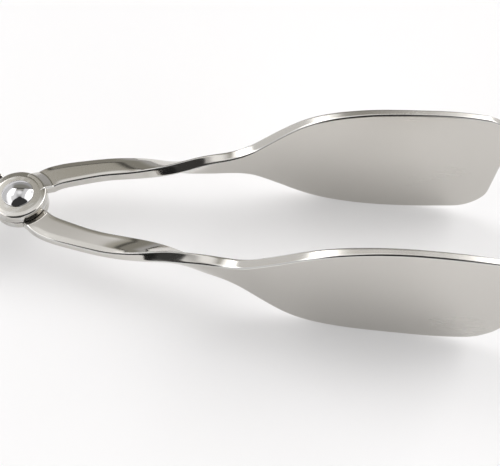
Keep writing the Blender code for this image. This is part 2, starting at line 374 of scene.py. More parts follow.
@dataclass(frozen=True)
class Profile:
    """The strip's rounded cross-section, as places on its faces and corners."""

    corner_steps: int = 5
    face_steps: int = 26
    side_steps: int = 3
    point_spacing: float = 0.1 * MM

    def points(self) -> list:
        """List the outline's points as (corner, arc, rim) values.

        Returns:
            For each point its place between the corners, its place on the corner's arc, and
            how far round the corner it is, from 0 on a flat to 1 on the corner's middle.
        """
        rows = []
        runs = ((1, 1, 0, True), (-1, 1, 90, False), (-1, -1, 180, True), (1, -1, 270, False))
        for across, through, start, on_face in runs:
            for step in range(self.corner_steps + 1):
                share = step / self.corner_steps
                arc = plan_direction(start + 90 * share)
                rows.append(((across, through), tuple(arc), math.sin(math.pi * share)))
            count = self.face_steps if on_face else self.side_steps
            for step in range(1, count + 1):
                slide = math.cos(math.pi * step / (count + 1))
                if on_face:
                    rows.append(((across * slide, through), (0.0, float(through)), 0.0))
                else:
                    rows.append(((across, through * slide), (float(across), 0.0), 0.0))
        return rows

    def build(self) -> bpy.types.Object:
        """Make the outline as a closed loop with its values as attributes.

        Returns:
            The loop.
        """
        rows = self.points()
        mesh = bpy.data.meshes.new("strip_outline")
        points = [(self.point_spacing * i, 0.0, 0.0) for i in range(len(rows))]
        edges = [(i, (i + 1) % len(rows)) for i in range(len(rows))]
        mesh.from_pydata(points, edges, [])
        store(mesh, "corner", [(*corner, 0.0) for corner, _, _ in rows])
        store(mesh, "arc", [(*arc, 0.0) for _, arc, _ in rows])
        store(mesh, "rim", [rim for _, _, rim in rows])
        outline = add_object("strip_outline", mesh)
        outline.hide_render = True
        return outline


@dataclass
class Line:
    """A middle line with the strip's place and size at each of its points.

    across and through are the directions of the strip's width and thickness. blade_share goes
    from 0 on the strip to 1 on the blade, thin scales the thickness, and bevel scales the
    bevels. lean is the angle, in radians, by which both sides of the outline are bent the same
    way out of its middle plane on the twist.
    """

    centre: np.ndarray
    across: np.ndarray
    through: np.ndarray
    half_width: np.ndarray
    blade_share: np.ndarray
    thin: np.ndarray
    bevel: np.ndarray
    lean: np.ndarray
    closed: bool = False

    LABELS = ("centre", "across", "through", "half_width", "blade_share", "thin", "bevel", "lean")

    def build(self, name: str) -> bpy.types.Object:
        """Make the line as a chain of edges with its values as attributes.

        Args:
            name: The object's name.

        Returns:
            The chain.
        """
        count = len(self.centre)
        mesh = bpy.data.meshes.new(name)
        edges = [(i, i + 1) for i in range(count - 1)]
        if self.closed:
            edges.append((count - 1, 0))
        mesh.from_pydata([tuple(point) for point in self.centre], edges, [])
        for label in self.LABELS:
            store(mesh, label, getattr(self, label))
        return add_object(name, mesh)


class StripSweep:
    """The Geometry Nodes tree that wraps a rounded outline round a middle line."""

    SIZES = (
        "Strip Thickness", "Blade Thickness", "Strip Edge", "Blade Edge",
        "Outer Bevel", "Outer Drop", "Inner Bevel", "Inner Drop",
        "Step Height", "Step Start", "Step End", "Step Softness",
    )
    BEVEL_SOFTNESS = 0.25

    def __init__(self) -> None:
        """Build the tree."""
        self.tree = bpy.data.node_groups.new("strip_sweep", "GeometryNodeTree")
        shapes = {"Line": "NodeSocketGeometry", "Outline": "NodeSocketObject"}
        add_sockets(self.tree, "INPUT", shapes)
        add_sockets(self.tree, "INPUT", {name: "NodeSocketFloat" for name in self.SIZES})
        add_sockets(self.tree, "INPUT", {"Material": "NodeSocketMaterial"})
        add_sockets(self.tree, "OUTPUT", {"Strip": "NodeSocketGeometry"})
        self.graph = Graph(self.tree)
        self.inputs = self.graph.add("NodeGroupInput").outputs
        self.write()

    def named(self, name: str, kind: str = "FLOAT") -> bpy.types.NodeSocket:
        """Read an attribute of the line or of the outline."""
        node = self.graph.add("GeometryNodeInputNamedAttribute", {"data_type": kind}, Name=name)
        outputs = [socket for socket in node.outputs if socket.name == "Attribute"]
        return next(socket for socket in outputs if socket.enabled)

    def drop(self, across: bpy.types.NodeSocket) -> bpy.types.NodeSocket:
        """Find how far the faces fall away on the bevels along the strip's two sides.

        Args:
            across: The place across the strip.

        Returns:
            The drop.
        """
        graph = self.graph
        total = None
        for side, operation in (("Outer", "SUBTRACT"), ("Inner", "ADD")):
            from_edge = graph.math(operation, self.named("half_width"), across)
            share = graph.math("DIVIDE", from_edge, self.inputs[side + " Bevel"])
            share = graph.math("SUBTRACT", 1.0, share)
            share = graph.math("SMOOTH_MAX", share, 0.0, self.BEVEL_SOFTNESS)
            fall = graph.math("MULTIPLY", share, self.inputs[side + " Drop"])
            total = fall if total is None else graph.math("ADD", total, fall)
        return graph.math("MULTIPLY", total, self.named("bevel"))

    def place(self) -> bpy.types.NodeSocket:
        """Find where each point of the strip lies.

        Returns:
            The place.
        """
        graph = self.graph
        share = self.named("blade_share")
        sizes = (self.inputs["Strip Thickness"], self.inputs["Blade Thickness"])
        thickness = graph.blend(share, *sizes)
        edge = graph.blend(share, self.inputs["Strip Edge"], self.inputs["Blade Edge"])
        inner_width = graph.math("SUBTRACT", self.named("half_width"), edge)
        inner_thickness = graph.math("SUBTRACT", graph.math("MULTIPLY", thickness, 0.5), edge)
        corner = graph.add("ShaderNodeSeparateXYZ", Vector=self.named("corner", "FLOAT_VECTOR"))
        arc = graph.add("ShaderNodeSeparateXYZ", Vector=self.named("arc", "FLOAT_VECTOR"))
        across = graph.math("MULTIPLY", corner.outputs["X"], inner_width)
        across = graph.math("MULTIPLY_ADD", arc.outputs["X"], edge, across)
        flat_part = graph.math("SUBTRACT", inner_thickness, self.drop(across))
        through = graph.math("MULTIPLY", corner.outputs["Y"], flat_part)
        through = graph.math("MULTIPLY_ADD", arc.outputs["Y"], edge, through)
        through = graph.math("MULTIPLY", through, self.named("thin"))
        place = self.named("centre", "FLOAT_VECTOR")
        turn = graph.math("DIVIDE", across, self.named("half_width"))
        turn = graph.math("MULTIPLY", turn, self.named("lean"))
        cosine, sine = graph.math("COSINE", turn), graph.math("SINE", turn)
        sides = (
            ("across", graph.math("MULTIPLY", across, cosine)),
            ("through", graph.math("MULTIPLY", graph.math("MULTIPLY", across, sine), -1.0)),
            ("through", graph.math("MULTIPLY", through, cosine)),
            ("across", graph.math("MULTIPLY", through, sine)),
        )
        for axis, reach in sides:
            arm = graph.vector("SCALE", self.named(axis, "FLOAT_VECTOR"), reach).outputs[0]
            place = graph.vector("ADD", place, arm).outputs[0]
        return place

    def lift(self, place: bpy.types.NodeSocket) -> bpy.types.NodeSocket:
        """Find how far a point is stepped up, from its distance to the rivet's axis.

        Args:
            place: The point before the step.

        Returns:
            The lift as a vector.
        """
        graph = self.graph
        level = graph.vector("MULTIPLY", place, (1.0, 1.0, 0.0)).outputs[0]
        radius = graph.vector("LENGTH", level).outputs["Value"]
        run = graph.math("SUBTRACT", self.inputs["Step End"], self.inputs["Step Start"])
        share = graph.math("DIVIDE", graph.math("SUBTRACT", self.inputs["Step End"], radius), run)
        share = graph.math("SMOOTH_MAX", share, 0.0, self.inputs["Step Softness"])
        share = graph.math("SMOOTH_MIN", share, 1.0, self.inputs["Step Softness"])
        height = graph.math("MULTIPLY", share, self.inputs["Step Height"])
        return graph.add("ShaderNodeCombineXYZ", Z=height).outputs[0]

    def write(self) -> None:
        """Write the nodes."""
        graph = self.graph
        line = graph.add("GeometryNodeMeshToCurve", Mesh=self.inputs["Line"])
        info = graph.add("GeometryNodeObjectInfo", Object=self.inputs["Outline"])
        outline = graph.add("GeometryNodeMeshToCurve", Mesh=info.outputs["Geometry"])
        sweep = graph.add("GeometryNodeCurveToMesh", Curve=line.outputs[0], Fill_Caps=True)
        graph.feed(sweep.inputs["Profile Curve"], outline.outputs[0])
        place = self.place()
        lifted = graph.vector("ADD", place, self.lift(place)).outputs[0]
        moved = graph.add("GeometryNodeSetPosition", Geometry=sweep.outputs[0], Position=lifted)
        whole = graph.add("GeometryNodeRealizeInstances", Geometry=moved.outputs[0])
        dressed = graph.add("GeometryNodeSetMaterial", Geometry=whole.outputs[0])
        graph.feed(dressed.inputs["Material"], self.inputs["Material"])
        out = graph.add("NodeGroupOutput")
        graph.feed(out.inputs["Strip"], dressed.outputs[0])

    def apply(self, line: bpy.types.Object, values: dict) -> bpy.types.Object:
        """Turn a line into its strip.

        Args:
            line: The line, which is removed.
            values: The tree's inputs by name.

        Returns:
            The strip as a plain mesh object.
        """
        modifier = line.modifiers.new("sweep", "NODES")
        modifier.node_group = self.tree
        for item in self.tree.interface.items_tree:
            if item.item_type == "SOCKET" and item.name in values:
                modifier[item.identifier] = values[item.name]
        name, mesh = line.name, evaluated_mesh(line)
        bpy.data.objects.remove(line, do_unlink=True)
        mesh.name = name
        return add_object(name, mesh)


# Meshes


def face_outwards(mesh: bpy.types.Mesh) -> None:
    """Close doubled points and turn every face outwards.

    Args:
        mesh: The mesh.
    """
    shape = bmesh.new()
    shape.from_mesh(mesh)
    bmesh.ops.remove_doubles(shape, verts=shape.verts, dist=MERGE_DISTANCE)
    bmesh.ops.recalc_face_normals(shape, faces=shape.faces)
    shape.to_mesh(mesh)
    shape.free()


def turned(name: str, profile: list, segments: int) -> bpy.types.Object:
    """Turn a profile about the Z axis.

    Args:
        name: The object's name.
        profile: Points as (radius, height, rim), from the top to the bottom.
        segments: How many steps the turn has.

    Returns:
        The turned object, whose rim values say where its edges are.
    """
    shape = bmesh.new()
    layer = shape.verts.layers.float.new("rim")
    rings = []
    for radius, height, rim in profile:
        turns = [2 * math.pi * i / segments for i in range(segments)] if radius > 0 else [0.0]
        places = [(radius * math.cos(turn), radius * math.sin(turn), height) for turn in turns]
        ring = [shape.verts.new(place) for place in places]
        for vert in ring:
            vert[layer] = rim
        rings.append(ring)
    for upper, lower in zip(rings, rings[1:]):
        for i in range(segments):
            j = (i + 1) % segments
            corners = [upper[i % len(upper)], lower[i % len(lower)]]
            corners += [lower[j % len(lower)], upper[j % len(upper)]]
            shape.faces.new(list(dict.fromkeys(corners)))
    bmesh.ops.recalc_face_normals(shape, faces=shape.faces)
    mesh = bpy.data.meshes.new(name)
    shape.to_mesh(mesh)
    shape.free()
    return add_object(name, mesh)


def rounded_corner(
    radius: float, height: float, edge: float, side: TurnedEdge, steps: int
) -> list:
    """List the points round a turned piece's edge.

    Args:
        radius: The piece's radius.
        height: The height of the face at that edge.
        edge: The edge's radius.
        side: Whether it is an upper or a lower edge.
        steps: How many steps the edge has.

    Returns:
        Points as (radius, height, rim), downwards.
    """
    rows = []
    centre = height - edge if side is TurnedEdge.UPPER else height + edge
    for step in range(steps + 1):
        share = step / steps
        angle = math.radians(side.value - 90 * share)
        place = (radius - edge + edge * math.cos(angle), centre + edge * math.sin(angle))
        rows.append((*place, math.sin(math.pi * share)))
    return rows


def combine(obj: bpy.types.Object, tool: bpy.types.Object, way: Join) -> None:
    """Join a tool to an object, or cut it away, and remove the tool.

    Args:
        obj: The object, which keeps its name.
        tool: The tool.
        way: Whether the tool is added or cut away.
    """
    modifier = obj.modifiers.new("join", "BOOLEAN")
    modifier.operation = way.value
    modifier.object = tool
    modifier.solver = "EXACT"
    mesh = evaluated_mesh(obj)
    obj.modifiers.clear()
    obj.data = mesh
    bpy.data.objects.remove(tool, do_unlink=True)


def settle(obj: bpy.types.Object, turn: Matrix, angle: float) -> None:
    """Move a piece to the rivet's place in its mesh and shade it.

    Args:
        obj: The piece.
        turn: How it is turned about the rivet's place.
        angle: The angle from which an edge is sharp, in degrees.
    """
    obj.data.transform(Matrix.Translation(RIVET_PLACE) @ turn)
    obj.data.shade_smooth()
    obj.data.set_sharp_from_angle(angle=math.radians(angle))
    modifier = obj.modifiers.new("even_shading", "WEIGHTED_NORMAL")
    modifier.keep_sharp = True


def hand_over(obj: bpy.types.Object, body: Body, node: str) -> None:
    """Let a piece ride on its body in place of its solid.

    Args:
        obj: The piece.
        body: The body that it rides on.
        node: The solid that it stands for.
    """
    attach(obj, body.value)
    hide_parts(node)
    log.info("%s: %d faces, rides on %s", obj.name, len(obj.data.polygons), body.value)


# Finishes


class SteelMarks:
    """The shader node groups that every steel finish shares."""

    # Fineness of the noises, and how far haze and edge wear reach
    FINE_DETAIL = 3.0
    BROAD_DETAIL = 2.0
    BROAD_SHARE = 0.23
    HAZE_DETAIL = 1.5
    HAZE_BREAKUP = 0.4
    HAZE_RANGE = (0.30, 0.80)
    EDGE_REACH = 0.9
    EDGE_WEAR = (0.75, 1.15)

    def __init__(self) -> None:
        """Build the groups."""
        self.grain = self.build_grain()
        self.haze = self.build_haze()
        self.edge = self.build_edge()

    @staticmethod
    def start(name: str, inputs: dict, outputs: dict) -> tuple:
        """Start a shader node group.

        Args:
            name: The group's name.
            inputs: Its input socket types by name.
            outputs: Its output socket types by name.

        Returns:
            The tree, its graph, its inputs and its output node.
        """
        tree = bpy.data.node_groups.new(name, "ShaderNodeTree")
        add_sockets(tree, "INPUT", inputs)
        add_sockets(tree, "OUTPUT", outputs)
        graph = Graph(tree)
        sockets = graph.add("NodeGroupInput").outputs
        return tree, graph, sockets, graph.add("NodeGroupOutput")

    def build_grain(self) -> bpy.types.NodeTree:
        """Build the fine lines that rubbing and buffing leave along the strip.

        Returns:
            The group.
        """
        inputs = {"Place": "NodeSocketVector", "Stretch": "NodeSocketVector"}
        inputs["Fineness"] = "NodeSocketFloat"
        outputs = {"Lines": "NodeSocketFloat", "Height": "NodeSocketFloat"}
        tree, graph, given, out = self.start("polishing_grain", inputs, outputs)
        drawn = graph.vector("MULTIPLY", given["Place"], given["Stretch"]).outputs[0]
        fine = graph.add("ShaderNodeTexNoise", Vector=drawn, Scale=given["Fineness"])
        graph.feed(fine.inputs["Detail"], self.FINE_DETAIL)
        wide = graph.math("MULTIPLY", given["Fineness"], self.BROAD_SHARE)
        broad = graph.add("ShaderNodeTexNoise", Vector=drawn, Scale=wide, Detail=self.BROAD_DETAIL)
        both = graph.math("ADD", fine.outputs[0], broad.outputs[0])
        graph.feed(out.inputs["Lines"], graph.math("SUBTRACT", both, 1.0))
        graph.feed(out.inputs["Height"], graph.math("MULTIPLY", both, 0.5))
        return tree

    def build_haze(self) -> bpy.types.NodeTree:
        """Build the soft clouds that wiping and handling leave.

        Returns:
            The group.
        """
        inputs = {"Place": "NodeSocketVector", "Size": "NodeSocketFloat"}
        tree, graph, given, out = self.start("handling_haze", inputs, {"Haze": "NodeSocketFloat"})
        cloud = graph.add("ShaderNodeTexNoise", Vector=given["Place"], Detail=self.HAZE_DETAIL)
        graph.feed(cloud.inputs["Roughness"], self.HAZE_BREAKUP)
        graph.feed(cloud.inputs["Scale"], graph.math("DIVIDE", 1.0, given["Size"]))
        graph.feed(out.inputs["Haze"], graph.ramp(cloud.outputs[0], *self.HAZE_RANGE))
        return tree

    def build_edge(self) -> bpy.types.NodeTree:
        """Build the brighter polish of the tumbled edges.

        Returns:
            The group.
        """
        inputs = {"Rim": "NodeSocketFloat", "Place": "NodeSocketVector", "Size": "NodeSocketFloat"}
        tree, graph, given, out = self.start("edge_polish", inputs, {"Edge": "NodeSocketFloat"})
        nicks = graph.add("ShaderNodeTexNoise", Vector=given["Place"], Detail=self.FINE_DETAIL)
        graph.feed(nicks.inputs["Scale"], graph.math("DIVIDE", 1.0, given["Size"]))
        patchy = graph.blend(nicks.outputs[0], *self.EDGE_WEAR)
        worn = graph.math("MULTIPLY", graph.ramp(given["Rim"], 0.0, self.EDGE_REACH), patchy)
        graph.feed(out.inputs["Edge"], graph.math("MINIMUM", worn, 1.0))
        return tree


@dataclass(frozen=True)
class SteelFinish:
    """A polished steel finish.

    grain and haze scale what these marks add to the roughness, and grain_height is the depth
    of the grain's bump. All sizes are in metres.
    """

    slot: Slot
    face: tuple
    edge: tuple
    face_roughness: float
    blade_roughness: float
    edge_roughness: float
    grain: float
    grain_height: float
    haze: float
    stretch: tuple = (0.05, 1.0, 1.0)
    grain_fineness: float = 9000.0
    haze_size: float = 0.022
    haze_strength: float = 0.4
    hazed_tone: float = 0.94
    edge_size: float = 0.004
    least_roughness: float = 0.03

    def build(self, marks: SteelMarks) -> bpy.types.Material:
        """Make the material.

        Args:
            marks: The shared shader groups.

        Returns:
            The material.
        """
        material, graph, shader = start_material(self.slot.value)
        place = graph.add("ShaderNodeTexCoord").outputs["Object"]
        rim = graph.add("ShaderNodeAttribute", {"attribute_name": "rim"}).outputs["Fac"]
        grain = self.group(graph, marks.grain, Place=place, Stretch=self.stretch)
        graph.feed(grain.inputs["Fineness"], self.grain_fineness)
        haze = self.group(graph, marks.haze, Place=place, Size=self.haze_size)
        edge = self.group(graph, marks.edge, Rim=rim, Place=place, Size=self.edge_size)
        blade = graph.add("ShaderNodeAttribute", {"attribute_name": "blade_share"}).outputs["Fac"]
        satin = graph.blend(blade, self.face_roughness, self.blade_roughness)
        roughness = graph.blend(edge.outputs[0], satin, self.edge_roughness)
        roughness = graph.math("MULTIPLY_ADD", grain.outputs["Lines"], self.grain, roughness)
        roughness = graph.math("MULTIPLY_ADD", haze.outputs[0], self.haze, roughness)
        dull = graph.math("MULTIPLY", haze.outputs[0], self.haze_strength)
        hazed = tuple(self.hazed_tone * value for value in self.face[:3]) + (1.0,)
        tone = graph.blend_colour(dull, self.face, hazed)
        colour = graph.blend_colour(edge.outputs[0], tone, self.edge)
        bump = graph.add("ShaderNodeBump", Height=grain.outputs["Height"], Strength=1.0)
        bump.inputs["Distance"].default_value = self.grain_height
        graph.feed(shader.inputs["Base Color"], colour)
        roughness = graph.math("MAXIMUM", roughness, self.least_roughness)
        graph.feed(shader.inputs["Roughness"], roughness)
        graph.feed(shader.inputs["Normal"], bump.outputs[0])
        shader.inputs["Metallic"].default_value = 1.0
        return material

    @staticmethod
    def group(graph: Graph, tree: bpy.types.NodeTree, **inputs: object) -> bpy.types.Node:
        """Place a shared group in the material and set its inputs by name."""
        return graph.add("ShaderNodeGroup", {"node_tree": tree}, **inputs)


ARM_STEEL = SteelFinish(
    slot=Slot.ARM,
    face=(0.64, 0.622, 0.587, 1.0),
    edge=(0.72, 0.715, 0.70, 1.0),
    face_roughness=0.10,
    blade_roughness=0.25,
    edge_roughness=0.09,
    grain=0.02,
    grain_height=0.0001 * MM,
    haze=0.03,
)
RIVET_STEEL = SteelFinish(
    slot=Slot.RIVET,
    face=(0.64, 0.64, 0.65, 1.0),
    edge=(0.70, 0.70, 0.70, 1.0),
    face_roughness=0.05,
    blade_roughness=0.05,
    edge_roughness=0.08,
    grain=0.02,
    grain_height=0.00005 * MM,
    haze=0.02,
)
WASHER_STEEL = SteelFinish(
    slot=Slot.WASHER,
    face=(0.60, 0.59, 0.57, 1.0),
    edge=(0.75, 0.75, 0.74, 1.0),
    face_roughness=0.30,
    blade_roughness=0.30,
    edge_roughness=0.20,
    grain=0.08,
    grain_height=0.0003 * MM,
    haze=0.06,
)


# The arm

@dataclass
class Arm:
    """One arm: finger ring, handle, stepped eye, twisted jaw and upright blade.

    Lengths are in metres and angles in degrees. strip_swell is the share by which the strip is
    thicker between eye and blade, and step_softness rounds the step beside the eye.
    """

    name: str
    node: str
    body: Body
    turned_over: bool
    strip_thickness: float = 0.0025
    strip_width: float = 0.0054
    root_width: float = 0.0061
    strip_edge: float = 0.00042
    strip_swell: float = 0.09
    outer_bevel: float = 0.00125
    outer_slope: float = 11.0
    inner_bevel: float = 0.00100
    inner_slope: float = 4.0
    bevel_run: float = 0.0035
    taper_end: float = 0.0200
    blade_thickness: float = 0.0019
    blade_height: float = 0.0375
    blade_tip_height: float = 0.0330
    blade_edge: float = 0.00045
    blade_corner: float = 0.0075
    blade_start: float = 0.0480
    blade_full: float = 0.0960
    jaw_length: float = 0.1163
    jaw_spread: float = 0.0191
    twist_start: float = 0.0199
    twist_end: float = 0.0498
    twist_lead: float = 0.0016
    eye_radius: float = 0.0067
    eye_edge: float = 0.00060
    eye_outer_bevel: float = 0.00125
    eye_outer_slope: float = 10.0
    eye_inner_bevel: float = 0.00080
    eye_inner_slope: float = 3.0
    eye_gap: float = 0.0003
    eye_proud: float = 0.00002
    bore: float = 0.0019
    step_start: float = 0.0062
    step_end: float = 0.0083
    step_softness: float = 0.12
    jaw_angle: float = 47.0
    handle_angle: float = 33.0
    handle_width: float = 0.0047
    handle_reach: float = 0.0660
    handle_spread: float = 0.0256
    ring_length: float = 0.0330
    ring_width: float = 0.0200
    ring_band: float = 0.0046
    ring_edge: float = 0.0011
    ring_angle: float = 14.0
    neck_fillet: float = 0.0060
    line_softness: float = 0.0015
    fine_spacing: float = 0.00014
    station_spacing: float = 0.00055
    sample: float = 0.0002
    ring_overlap: float = 0.008
    tip_overrun: float = 0.005

    # The jaw's plan, as shares of the way from the eye's step to the blade's tip
    JAW_BOW_SHARES = (
        (0.00, 0.000), (0.02, 0.100), (0.06, 0.205), (0.13, 0.350), (0.20, 0.430),
        (0.27, 0.490), (0.33, 0.590), (0.40, 0.690), (0.47, 0.830), (0.54, 0.924),
        (0.62, 0.950), (0.76, 0.970), (0.90, 1.008), (1.00, 1.000),
    )

    # The handle's plan, as shares of the way from the eye's step to the finger ring
    HANDLE_BOW_SHARES = (
        (0.00, 0.000), (0.10, 0.130), (0.35, 0.360), (0.70, 0.670), (1.00, 1.000),
    )

    # The blade's widening, as shares of its run and of the height that it gains
    BLADE_RISE_SHARES = (
        (0.00, 0.000), (0.07, 0.040), (0.14, 0.130), (0.21, 0.280),
        (0.29, 0.460), (0.38, 0.645), (0.46, 0.765), (0.56, 0.865),
        (0.70, 0.950), (0.85, 0.990), (1.00, 1.000),
    )

    # The middle line, its stations and the strip's width along it
    LINE_STEPS = 200
    JAW_START_SHARE = 0.7
    DROOP_LIMIT_SHARE = 1.2
    STEP_MARGINS = (0.0011, 0.0012)
    CORNER_STEPS = 29
    TIP_EDGE_TURNS = (22, 45, 68, 90)
    EYE_LINE_ANGLE = 40.0
    EYE_LINE_REACH = 0.006
    WIDTH_SOFTNESS = 4.0
    TWIST_SOFTNESS = 6.0
    SWELL_RUN = 0.014
    BEVEL_FALL_END_SHARE = 0.8
    RING_STEPS = 220

    # The turned eye, its bevel and the rivet's hole
    EYE_SEGMENTS = 144
    EYE_RING_SHARES = (0.3, 0.6, 0.85, 0.97)
    BEVEL_STEPS = 14
    UPPER_EDGE_STEPS = 9
    LOWER_EDGE_STEPS = 6
    LOWER_EDGE_SHARE = 0.6
    LOWER_RING_SHARE = 0.6
    BEVEL_TURN_SHARES = (0.35, 0.9)
    BEVEL_ONSET_SHARE = 0.3
    BORE_SEGMENTS = 64
    SHARP_ANGLE = 38.0

    def ring_axis(self) -> np.ndarray:
        """Find the level direction of the ring's long axis, away from the rivet."""
        return -plan_direction(self.ring_angle)

    def ring_halves(self) -> tuple:
        """Find the half axes along the middle of the ring's band."""
        return (self.ring_length + self.ring_band) / 2, (self.ring_width + self.ring_band) / 2

    def ring_centre(self) -> np.ndarray:
        """Find the middle of the finger ring."""
        return np.array([-self.handle_reach, -self.handle_spread])

    def ring_front(self) -> np.ndarray:
        """Find where the handle meets the middle of the ring's band."""
        return self.ring_centre() - self.ring_axis() * self.ring_halves()[0]

    def middle_line(self) -> np.ndarray:
        """Draw the arm's middle line from inside the ring's band to past the blade's tip.

        Returns:
            The line's points in plan, evenly spaced.
        """
        jaw_root = plan_direction(self.jaw_angle) * self.step_end
        handle_root = -plan_direction(self.handle_angle) * self.step_end
        front = self.ring_front()
        shares = np.linspace(0.0, 1.0, self.LINE_STEPS)[:, None]
        inside = front + self.ring_axis() * self.ring_overlap * (1 - shares)
        handle_x = mix(handle_root[0], front[0], shares[::-1])
        bow = curve_values(self.HANDLE_BOW_SHARES, shares[::-1])
        handle_y = mix(handle_root[1], front[1], bow)
        jaw_x = mix(jaw_root[0], self.jaw_length, shares)
        jaw_y = mix(jaw_root[1], self.jaw_spread, curve_values(self.JAW_BOW_SHARES, shares))
        slope = (jaw_y[-1] - jaw_y[-2]) / (jaw_x[-1] - jaw_x[-2])
        over = self.tip_overrun
        past = np.array([self.jaw_length + over, self.jaw_spread + over * slope[0]])
        handle = np.hstack([handle_x, handle_y])
        jaw = np.hstack([jaw_x, jaw_y])
        corners = np.vstack([inside[:-1], handle, [[0.0, 0.0]], jaw, [past]])
        lengths = np.r_[0.0, np.cumsum(np.linalg.norm(np.diff(corners, axis=0), axis=1))]
        places = np.arange(0.0, lengths[-1], self.sample)
        even = read_along(places, lengths, corners)
        return soften(even, self.line_softness / self.sample)

    def blade_height_at(self, x: np.ndarray) -> np.ndarray:
        """Find the strip's width, or the blade's height, before its corners are rounded.

        Args:
            x: Evenly spaced places along the arm.

        Returns:
            The widths.
        """
        taper = smoothstep((x - self.step_end) / (self.taper_end - self.step_end))
        strip = mix(self.root_width, self.strip_width, taper)
        rise = np.clip((x - self.blade_start) / (self.blade_full - self.blade_start), 0.0, 1.0)
        height = mix(strip, self.blade_height, curve_values(self.BLADE_RISE_SHARES, rise))
        droop = (x - self.blade_full) / (self.jaw_length - self.blade_full)
        droop = np.clip(droop, 0.0, self.DROOP_LIMIT_SHARE)
        return height + (self.blade_tip_height - self.blade_height) * droop**2

    def stations(self, radius: np.ndarray, run: np.ndarray, tip: float) -> np.ndarray:
        """Choose where along the line the strip's outlines stand.

        Args:
            radius: The distance from the rivet's axis at each sample of the line.
            run: The length along the line at each sample.
            tip: The length at the blade's tip.

        Returns:
            The stations' lengths along the line.
        """
        corner = tip - self.blade_corner
        before, after = self.STEP_MARGINS
        near = (radius > self.step_start - before) & (radius < self.step_end + after)
        spacing = np.where(near, self.fine_spacing, self.station_spacing)
        density = np.r_[0.0, np.cumsum(np.diff(run) / spacing[1:])]
        start = np.interp(self.ring_overlap, run, density)
        end = np.interp(corner, run, density)
        even = np.interp(np.linspace(start, end, int(end - start) + 1), density, run)
        turns = np.radians(np.linspace(0.0, 90.0, self.CORNER_STEPS)[1:])
        round_corner = corner + (self.blade_corner - self.blade_edge) * np.sin(turns)
        turns = np.radians(self.TIP_EDGE_TURNS)
        round_edge = tip - self.blade_edge + self.blade_edge * np.sin(turns)
        return np.r_[even, round_corner, round_edge]

    def handle_half_widths(self, line: np.ndarray) -> np.ndarray:
        """Find the handle's half width, which widens to the finger ring in a fillet.

        Args:
            line: The arm's middle line.

        Returns:
            The half width at each sample of the line.
        """
        halves = self.ring_halves()
        outer = self.ring_front() - self.ring_axis() * self.ring_band / 2
        ahead = (line - outer) @ -self.ring_axis()
        bend = (halves[1] + self.ring_band / 2) ** 2 / (halves[0] + self.ring_band / 2)
        side = self.handle_width / 2 + self.neck_fillet
        reach = math.sqrt((bend + self.neck_fillet) ** 2 - side**2)
        start = reach - bend
        end = reach * bend / (bend + self.neck_fillet) - bend
        into = np.clip(start - np.maximum(ahead, end), 0.0, self.neck_fillet)
        return side - np.sqrt(self.neck_fillet**2 - into**2)

    def half_widths(self, line: np.ndarray, on_jaw: np.ndarray) -> np.ndarray:
        """Find the strip's half width at each sample of its middle line.

        Args:
            line: The middle line.
            on_jaw: Which samples are in front of the rivet.

        Returns:
            The half widths, before the blade's corners are rounded.
        """
        x = np.maximum(line[:, 0], self.step_end * self.JAW_START_SHARE)
        jaw = self.blade_height_at(x) / 2
        handle = self.handle_half_widths(line)
        along = line @ plan_direction(self.EYE_LINE_ANGLE)
        share = smoothstep((along / self.EYE_LINE_REACH + 1) / 2)
        near = mix(self.handle_width / 2, self.root_width / 2, share)
        close = np.linalg.norm(line, axis=1) < self.step_start
        width = np.where(close, near, np.where(on_jaw, jaw, handle))
        return soften(width, self.WIDTH_SOFTNESS)

    def rounded_tip(self, at: np.ndarray, tip: float) -> tuple:
        """Find how the blade's front corners and its front edge are rounded.

        Args:
            at: The stations' lengths along the line.
            tip: The length at the blade's tip.

        Returns:
            What the half width loses at each station, and the share that the thickness loses.
        """
        into = np.clip(at - (tip - self.blade_corner), 0.0, self.blade_corner)
        narrowed = self.blade_corner - np.sqrt(self.blade_corner**2 - into**2)
        into = np.clip((at - (tip - self.blade_edge)) / self.blade_edge, 0.0, 1.0)
        thinned = self.blade_edge * (1 - np.sqrt(1 - into**2)) / (self.blade_thickness / 2)
        return narrowed, thinned

    def strip_line(self) -> Line:
        """Work out the arm's middle line with the strip's place and size along it.

        Returns:
            The line.
        """
        line = self.middle_line()
        run = np.arange(len(line)) * self.sample
        radius = np.linalg.norm(line, axis=1)
        rivet = int(np.argmin(radius))
        on_jaw = np.arange(len(line)) > rivet
        tip = float(np.interp(self.jaw_length, line[rivet:, 0], run[rivet:]))
        width = self.half_widths(line, on_jaw)
        slope = np.gradient(line, axis=0)
        slope /= np.linalg.norm(slope, axis=1)[:, None]
        share = (line[:, 0] - self.twist_start) / (self.twist_end - self.twist_start)
        turn = soften(math.pi / 2 * smoothstep(share * on_jaw), self.TWIST_SOFTNESS)
        at = self.stations(radius, run, tip)
        plan = read_along(at, run, line)
        along = read_along(at, run, slope)
        distance = read_along(at, run, radius)
        twist = read_along(at, run, turn)
        x = plan[:, 0]
        flat = np.zeros(len(at))
        left = np.column_stack([-along[:, 1], along[:, 0], flat])
        up = np.array([0.0, 0.0, 1.0])
        cosine = np.cos(twist)[:, None]
        sine = np.sin(twist)[:, None]
        narrowed, thinned = self.rounded_tip(at, tip)
        share = smoothstep((x - self.blade_start) / (self.blade_full - self.blade_start))
        away = smoothstep((distance - self.step_end) / self.SWELL_RUN)
        swell = 1.0 + self.strip_swell * away * (1.0 - share) * (x > 0)
        return Line(
            centre=np.column_stack([plan, flat]),
            across=left * cosine - up * sine,
            through=up * cosine + left * sine,
            half_width=read_along(at, run, width) - narrowed,
            blade_share=share,
            thin=(1.0 - thinned) * swell,
            bevel=self.bevel_share(x, distance),
            lean=read_along(at, run, np.gradient(turn, self.sample) * self.twist_lead),
        )

